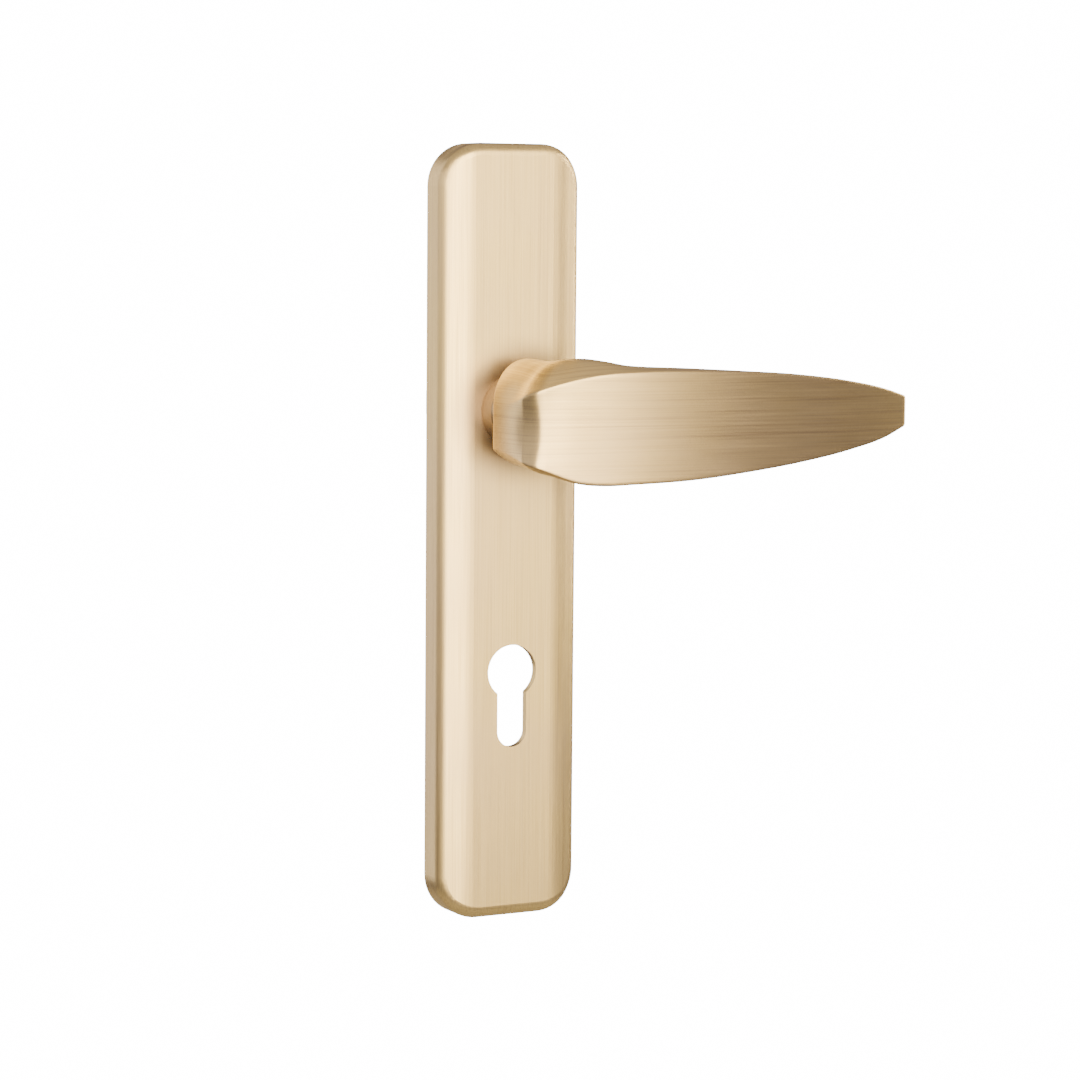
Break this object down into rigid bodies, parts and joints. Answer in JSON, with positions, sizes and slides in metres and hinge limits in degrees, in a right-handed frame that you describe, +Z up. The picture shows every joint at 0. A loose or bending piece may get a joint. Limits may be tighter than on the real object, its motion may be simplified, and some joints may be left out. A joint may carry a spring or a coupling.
{
  "type": "lever handle on backplate",
  "caption": "Sprung lever handle on a long bevelled backplate, with a euro-profile cylinder cut-out, square spindle and two fixing posts.",
  "frame": {"origin": "on the lever's turning axis, at the door's face", "axes": "+Z up the plate, +X along the lever, -Y out of the door, +Y into the door along the spindle"},
  "size_m": [0.1536, 0.0985, 0.252],
  "materials": {
    "antique_brass": "fine brushed, lacquered antique brass",
    "zinc_steel": "zinc-plated pressed steel",
    "spring_steel": "bright drawn spring steel",
    "drive_steel": "zinc-plated square bar",
    "black_steel": "black oxide",
    "nylon": "natural nylon"
  },
  "bodies": {
    "plate": {"cover_plate": "antique_brass", "base_plate": "zinc_steel", "base_plate_screws": "zinc_steel", "neck_bush": "nylon", "neck_collar": "antique_brass", "spring_housing": "zinc_steel", "housing_cover": "zinc_steel", "housing_screws": "zinc_steel", "rest_stop_buffer": "nylon", "travel_stop_buffer": "nylon", "thrust_washer": "nylon", "return_spring": "spring_steel", "upper_fixing_post": "drive_steel", "lower_fixing_post": "drive_steel"},
    "handle": {"lever": "antique_brass", "drive_sleeve": "drive_steel", "cam_plate": "zinc_steel", "wave_washer": "spring_steel", "circlip": "spring_steel", "spindle": "drive_steel", "grub_screw": "black_steel"}
  },
  "joints": [
    {"name": "lever_turn", "type": "hinge", "parent": "plate", "child": "handle", "pos_m": [0, 0, 0], "axis": [0, 1, 0], "range_deg": [0, 45], "stiffness_Nm_per_rad": 0.6, "springref_deg": -45.84, "deforming": ["return_spring"]}
  ]
}
